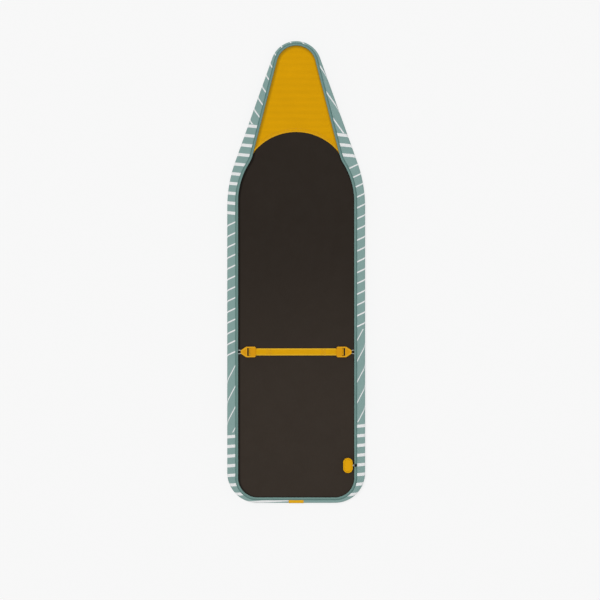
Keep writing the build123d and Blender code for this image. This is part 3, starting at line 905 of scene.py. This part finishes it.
def round_route(offset, height):
    """Distance along the opening's whole outline to a point, set out from it and at a height."""
    whole = 2 * OPENING_HALF

    def at(s):
        s = s % whole
        side = 1 if s <= OPENING_HALF else -1
        (x, y), (nx, ny) = OPENING.at(s if side > 0 else whole - s)
        return (side * (x + nx * offset), y + ny * offset, UNDERSIDE_Z + height)

    return at, whole


def hem_stitching():
    at, total = round_route(HEM_W - 0.95, 1.72)
    obj = stitches("hem_stitching", at, total, 4.0, 0.78, 0.26)
    finish_piece(obj, "hem_cloth", material=HEM_THREAD)


def arc_points(centre, r, a0, a1, n):
    return [polar(centre, r, a0 + (a1 - a0) * k / n) for k in range(n + 1)]


def loop_route(side):
    """The cord at one end of the strap: out of the hem, round the post under the buckle's tip and back in."""
    lead = 34.0  # distances from the strap's middle line, along the hem
    bend_start = 12.0
    bend_y = 8.0
    bend_r = 3.0
    bight = POST_R + GAP + CORD_R
    out = [(HEM_X, STRAP_Y - lead), (HEM_X, STRAP_Y - bend_start)]
    out += arc_points((HEM_X - bend_r, STRAP_Y - bend_y), bend_r, 0, QUARTER * 0.95, 8)
    out += arc_points((POST_X, STRAP_Y), bight, -QUARTER, -3 * QUARTER, 20)
    out += arc_points((HEM_X - bend_r, STRAP_Y + bend_y), bend_r, -QUARTER * 0.95, 0, 8)
    out += [(HEM_X, STRAP_Y + bend_start), (HEM_X, STRAP_Y + lead)]
    return [(side * x, y, CORD_Z) for x, y in out]


def drawcord():
    """The whole cord: round the hem from one side of the lock to the other, with a loop at each strap end."""
    start = CORNER_END + LOCK_Y - (OPEN_TAIL_Y + OPEN_TAIL_R)
    strap_at = CORNER_END + STRAP_Y - (OPEN_TAIL_Y + OPEN_TAIL_R)
    at, whole = round_route(HEM_W / 2, CORD_Z - UNDERSIDE_Z)

    def run(s0, s1):
        n = max(2, int((s1 - s0) / 3.0))
        return [at(s0 + (s1 - s0) * k / n) for k in range(n + 1)]

    route = run(start + STRAND_REACH, strap_at - STRAP_CLEAR)
    route += loop_route(1)
    route += run(strap_at + STRAP_CLEAR, whole - strap_at - STRAP_CLEAR)
    route += reversed(loop_route(-1))
    route += run(whole - strap_at + STRAP_CLEAR, whole + start - STRAND_REACH)
    obj = cord_tube("drawcord_braid", [route])
    finish_piece(obj, "elastic_cord")
    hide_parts("drawcord")


def cord_tube(name, routes, sides=12, radius=CORD_R):
    """A braided cord along each route, with how far round and how far along as its UV map."""
    verts, faces, values = [], [], []
    for route in routes:
        add_tube(verts, faces, route, radius, sides)
        far = 0.0
        for k, p in enumerate(route):
            far += dist(p, route[k - 1]) if k else 0.0
            values += [(min(s, sides - s) / sides * 2, far * MM) for s in range(sides)]
    obj = new_object(name, verts, faces)
    give_uv(obj, values)
    return obj


def loop_slits():
    """The bound slit in the hem's inner side that each loop comes out of, drawn as a near-black dished patch:
    painted shade inside the slit.
    """
    n = 28
    half_long, half_high = 7.2, 1.25
    rings = [(1.0, 0.12), (0.55, -0.35), (0.0, -0.35)]  # share of the slit's size, how far it stands proud
    verts, faces = [], []
    for side in (-1, 1):
        start = len(verts)
        for share, proud in rings:
            for k in range(n):
                a = tau * k / n
                verts.append((
                    side * (OPEN_HALF - proud + 0.10),
                    STRAP_Y + half_long * share * cos(a),
                    CORD_Z - 0.1 + half_high * share * sin(a),
                ))
        faces += quads(len(rings), n, start)
    obj = new_object("loop_slits", verts, faces)
    finish_piece(obj, "eyelet_black", material=SLIT_SHADE)


# ---- nose pocket
def pocket():
    """The pocket, lofted from its arched mouth to the seam under the hem."""
    across, deep = 160, 30
    seam_out = 4.2  # the seam's distance outside the opening's edge
    turned_in = 9.4  # how far from the mouth the cloth is doubled
    start = ARCH_END - 6.0
    whole = 2 * OPENING_HALF
    rows = []
    for r in range(deep + 1):
        t = (r / deep) ** 1.25
        row = []
        for i in range(across + 1):
            u = i / across
            s = start + (whole - 2 * start) * u
            side = 1 if s <= OPENING_HALF else -1
            (x, y), (nx, ny) = OPENING.at(s if side > 0 else whole - s)
            ox, oy = side * (x + nx * seam_out), y + ny * seam_out
            mx, my = polar((0, MOUTH_Y), MOUTH_R, MOUTH_START + (pi - 2 * MOUTH_START) * u)
            far = dist((mx, my), (ox, oy)) * t
            swell = sin(pi * t)
            belly = 0.28 * swell + 0.10 * sin(x * 0.045 + 1.0) * swell
            doubled = 0.34 * max(0.0, min(1.0, turned_in - far)) if 0.02 < u < 0.98 else 0.0
            row.append((mx + (ox - mx) * t, my + (oy - my) * t, FLAP_Z - 0.05 + belly * 0.8 + doubled * 0.6))
        rows.append(row)
    obj = grid("pocket_cloth", rows)
    face_up(obj)
    thicken(obj, 0.65)
    finish_piece(obj, "pocket_cloth")
    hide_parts("nose_pocket")
    return obj


def pocket_lip():
    """The rounded lip along the pocket's mouth."""
    section = [
        # share of the lip's width out from the mouth, height over the flap
        (0.02, -0.6), (-0.02, 0.0), (0.06, 0.45), (0.25, 0.74),
        (0.5, 0.8), (0.8, 0.62), (0.96, 0.4), (1.0, 0.1),
    ]
    n = 150
    start = MOUTH_START + 0.02
    rows = []
    for share, height in section:
        row = []
        for i in range(n + 1):
            x, y = polar((0, MOUTH_Y), MOUTH_R + LIP_W * share, start + (pi - 2 * start) * i / n)
            row.append((x, y, FLAP_Z + height))
        rows.append(row)
    rows.append(rows[0])
    obj = grid("pocket_binding", rows)
    weld(obj)
    finish_piece(obj, "lip_cloth")
    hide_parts("pocket_lip")


def pocket_stitching():
    def row_at(r, z):
        a0 = MOUTH_START + 0.03
        total = r * (pi - 2 * a0)

        def at(s):
            a = a0 + s / r
            return (r * cos(a), MOUTH_Y + r * sin(a), z)

        return at, total

    at, total = row_at(MOUTH_R + 3.3, FLAP_Z + 0.55)
    near = stitches("lip_stitching", at, total, 3.2, 0.72, 0.2)
    finish_piece(near, "lip_cloth", material=POCKET_THREAD)
    at, total = row_at(MOUTH_R + 9.2, FLAP_Z + 0.06)
    far = stitches("pocket_stitching", at, total, 3.2, 0.74, 0.24)
    finish_piece(far, "pocket_cloth", material=POCKET_THREAD)


# ---- ribbons: strap and tail tab
def ribbon(name, path, normals, across, half, thickness, selvedge=0.0):
    """A flat band along a path: its section runs across it, with thicker edges where it has a selvedge."""
    top = [-1.0, -0.985, -0.94, -0.8, -0.66, -0.6, -0.3, 0.0, 0.3, 0.6, 0.66, 0.8, 0.94, 0.985, 1.0]

    def height(v):
        v = abs(v)
        if v >= 1.0:
            return 0.0
        if v > 0.98:
            return 0.55
        if v > 0.9:
            return 0.9 + selvedge * 0.4
        if v > 0.62:
            return 1.0 + selvedge
        return 1.0 - selvedge * 0.4

    section = [(v, height(v)) for v in top] + [(v, -height(v)) for v in reversed(top[1:-1])]
    near_start = tuple(Vector(path[0]).lerp(Vector(path[1]), 0.04))
    near_end = tuple(Vector(path[-1]).lerp(Vector(path[-2]), 0.04))
    path = [path[0], near_start, *path[1:-1], near_end, path[-1]]
    normals = [normals[0], normals[0], *normals[1:-1], normals[-1], normals[-1]]
    verts = []
    n = len(section)
    cross = Vector(across)
    for p, up in zip(path, normals):
        for v, h in section:
            verts.append(tuple(Vector(p) + cross * (v * half) + Vector(up) * (h * thickness / 2)))
    faces = quads(len(path), n)
    faces.append(tuple(range(n)))
    faces.append(tuple((len(path) - 1) * n + s for s in reversed(range(n))))
    return new_object(name, verts, faces)


def add_run(path, normals, start, end, up, step):
    """A straight run of points, added to a ribbon's path and normals."""
    n = max(1, round(dist(start, end) / step))
    for k in range(1 if path else 0, n + 1):
        path.append(tuple(a + (b - a) * k / n for a, b in zip(start, end)))
        normals.append(up)


def strap_end(side, name):
    """One end of the strap: under the buckle's plate, over its bar and folded back beneath itself."""
    path, normals = [], []
    bend = BAR_Z - STRAP_Z
    rise = BAR_X - WRAP_R
    near_buckle = BUCKLE_IN_X - 2
    coarse, fine = 4.0, 0.7
    upward, down = (0, 0, 1), (0, 0, -1)

    def point(x, z):
        return (side * x, STRAP_Y, z)

    add_run(path, normals, point(SPLICE_X, STRAP_Z), point(near_buckle, STRAP_Z), upward, coarse)
    add_run(path, normals, point(near_buckle, STRAP_Z), point(rise - bend, STRAP_Z), upward, fine)
    for k in range(1, 7):
        a = -QUARTER + QUARTER * k / 6
        path.append(point(rise - bend + bend * cos(a), BAR_Z + bend * sin(a)))
        normals.append((-side * cos(a), 0, -sin(a)))
    for k in range(1, 28):
        a = pi - 1.5 * pi * k / 27
        path.append(point(BAR_X + WRAP_R * cos(a), BAR_Z + WRAP_R * sin(a)))
        normals.append((side * cos(a), 0, sin(a)))
    folded_end = BUCKLE_IN_X - FOLD_BACK
    add_run(path, normals, point(BAR_X, UNDER_LAYER_Z), point(near_buckle, UNDER_LAYER_Z), down, fine)
    add_run(path, normals, point(near_buckle, UNDER_LAYER_Z), point(folded_end, UNDER_LAYER_Z), down, coarse)
    obj = ribbon(name, path, normals, (0, side, 0), WEB_W / 2, WEB_T * 0.96, selvedge=0.10)
    finish_piece(obj, "webbing", None)
    return obj


def strap():
    path, normals = [], []
    add_run(path, normals, (-SPLICE_X, STRAP_Y, STRAP_Z), (SPLICE_X, STRAP_Y, STRAP_Z), (0, 0, 1), 4.0)
    middle = ribbon("strap_middle", path, normals, (0, 1, 0), WEB_W / 2, WEB_T * 0.96, selvedge=0.10)
    finish_piece(middle, "webbing", "strap")
    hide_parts("strap_webbing")
    for side, name, body in ((1, "strap_end_right", "right_buckle"), (-1, "strap_end_left", "left_buckle")):
        end = strap_end(side, name)
        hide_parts("right_webbing_end" if side > 0 else "left_webbing_end", "strap_tails")
        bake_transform(end)


def strap_tacks():
    """A box of stitches with a cross where each folded-back end is sewn down."""
    x0, x1, half = 67.5, 78.5, 7.4
    corners = [(x0, -half), (x1, -half), (x1, half), (x0, half)]
    lines = [(corners[k], corners[(k + 1) % 4]) for k in range(4)]
    lines += [(corners[0], corners[2]), (corners[1], corners[3])]
    pitch = 2.4
    top = STRAP_Z + WEB_T / 2
    verts, faces = [], []
    for side in (-1, 1):
        for (ax, ay), (bx, by) in lines:
            n = round(dist((ax, ay), (bx, by)) / pitch)
            for k in range(n):
                path = []
                for t in (0.12, 0.3, 0.5, 0.7, 0.88):
                    f = (k + t) / n
                    arch = 0.16 - 1.44 * (t - 0.5) ** 2
                    path.append((side * (ax + (bx - ax) * f), STRAP_Y + ay + (by - ay) * f, top + arch))
                add_tube(verts, faces, path, 0.17, 6)
    obj = new_object("strap_tacks", verts, faces)
    finish_piece(obj, "webbing", "strap", POCKET_THREAD)


def tail_tab():
    """The tab: out from under the hem's edge, over the board's edge and down the tail wall."""
    path, normals = [], []
    clear = 0.45  # from the cover to the middle of the tape
    step = 0.8
    r = UNDER_EDGE + clear
    y_edge = TAIL_Y + UNDER_EDGE
    z = FLAP_Z + clear
    low = FLAP_Z - 13.0
    add_run(path, normals, (0, OPEN_TAIL_Y - HEM_W + 0.5, z), (0, y_edge, z), (0, 0, 1), step)
    for k in range(1, 11):
        a = QUARTER + QUARTER * k / 10
        path.append((0, y_edge + r * cos(a), FLAP_Z - UNDER_EDGE + r * sin(a)))
        normals.append((0, cos(a), sin(a)))
    add_run(path, normals, path[-1], (0, path[-1][1], low), (0, -1, 0), step)
    obj = ribbon("tail_tab_tape", path, normals, (-1, 0, 0), 20.0, 0.85, selvedge=0.1)
    finish_piece(obj, "tab_cloth")
    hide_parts("tail_tab")
    verts, faces = [], []
    for x in (-18.0, 18.0):
        for k in range(0, 3 * (len(path) // 3 - 1), 3):
            stitch = []
            for (_, py, pz), (_, uy, uz), h in zip(path[k:k + 3], normals[k:k + 3], (0.35, 0.6, 0.35)):
                stitch.append((x, py + uy * h, pz + uz * h))
            add_tube(verts, faces, stitch, 0.2, 6)
    seam = new_object("tail_tab_stitching", verts, faces)
    finish_piece(seam, "tab_cloth", material=POCKET_THREAD)


# ---- cord lock
LOCK_WALL_X = LOCK_X + LOCK_HALF


def lock_cord_route(side):
    """One strand: up out of the hem's eyelet and straight across to the lock's wall."""
    y = LOCK_Y + side * STRAND_Y
    bend = 1.6
    route = [(HEM_X, LOCK_Y + side * STRAND_REACH, CORD_Z), (HEM_X, LOCK_Y + side * 3.4, CORD_Z)]
    for k in range(1, 8):
        a = QUARTER * k / 7
        route.append((HEM_X, y + side * bend * (1 - sin(a)), CORD_Z + bend * (1 - cos(a))))
    for k in range(8):
        a = QUARTER * k / 7
        route.append((HEM_X - bend * (1 - cos(a)), y, STRAND_Z - bend * (1 - sin(a))))
    for k in range(1, 41):
        t = k / 40
        route.append((HEM_X - bend + (LOCK_WALL_X - HEM_X + bend) * t, y, STRAND_Z))
    return route


def lock_cords():
    obj = cord_tube("lock_cord_strands", [lock_cord_route(1), lock_cord_route(-1)])
    finish_piece(obj, "elastic_cord", None)
    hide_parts("lock_cords")
    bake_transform(obj)


def cord_knot():
    """The two ends inside the lock, tied in one knot."""
    cx, cy, cz = LOCK_X - 7.3, LOCK_Y, STRAND_Z - 0.4
    knot = []
    for k in range(97):
        t = tau * k / 96
        x = (sin(t) + 2 * sin(2 * t)) / 3 * 1.6
        y = (cos(t) - 2 * cos(2 * t)) / 3 * 2.2
        z = -sin(3 * t) * 0.9
        knot.append((cx + x, cy + y, cz + z))
    strands = []
    for side in (-1, 1):
        y = LOCK_Y + side * STRAND_Y
        strands.append([(LOCK_WALL_X + (cx - LOCK_WALL_X) * k / 20, y, STRAND_Z) for k in range(21)])
    obj = cord_tube("cord_knot_tie", [knot], radius=0.75)
    finish_piece(obj, "elastic_cord", "cord_lock")
    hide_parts("cord_knot")
    inner = cord_tube("lock_inner_strands", strands)
    finish_piece(inner, "elastic_cord", "cord_lock")


def lock_springs():
    """The two coil springs, which shorten as the button is pushed down."""
    low, high = BASE_Z + 0.4, FLANGE_Z - 0.4
    points = 4 * 20  # four turns
    coil_r = 2.3
    spring_y = 11.0
    verts, faces = [], []
    for end in (-1, 1):
        route = []
        for k in range(points + 1):
            x, y = polar((LOCK_X, LOCK_Y + end * spring_y), coil_r, tau * k / 20)
            route.append((x, y, low + (high - low) * k / points))
        add_tube(verts, faces, route, 0.3, 8)
    obj = new_object("lock_coils", verts, faces)
    finish_piece(obj, "spring_steel", "cord_lock")
    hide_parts("lock_springs")
    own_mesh(obj)


# ---- padding
def pad(name, node, slot, inset_low, inset_high, low, high):
    """A layer of padding: a closed slab of the board's outline with a soft edge."""
    bottom, top = inset_ring(inset_low, low), inset_ring(inset_high, high)
    middle = inset_ring(min(inset_low, inset_high) - 0.05, (low + high) / 2)
    rings = [toward_spine(bottom, t) for t in (1.0, 0.7, 0.35)]
    rings += [bottom, middle, top]
    rings += [toward_spine(top, t) for t in (0.35, 0.7, 1.0)]
    obj = lofted(name, rings)
    weld(obj)
    finish_piece(obj, slot)
    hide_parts(node)


# ---- put it together
camera()
light_and_floor()

for name, node in frame["nodes"].items():
    slot = next(s["material_slot"] for s in frame["record"]["subparts"] if s["node"] == name)
    node.data.materials.clear()
    node.data.materials.append(LOOKS[slot])

cover_cloth = cover()
hem()
hem_stitching()
drawcord()
loop_slits()
pocket_cloth = pocket()
pocket_lip()
pocket_stitching()
strap()
strap_tacks()
tail_tab()
lock_cords()
cord_knot()
lock_springs()
pad("foam_pad", "foam_layer", "foam", 4.4, 1.6, FOAM_Z + 0.02, FELT_Z - 0.02)
pad("felt_pad", "felt_layer", "felt", 1.6, 1.15, FELT_Z + 0.02, CORE_Z - 0.02)
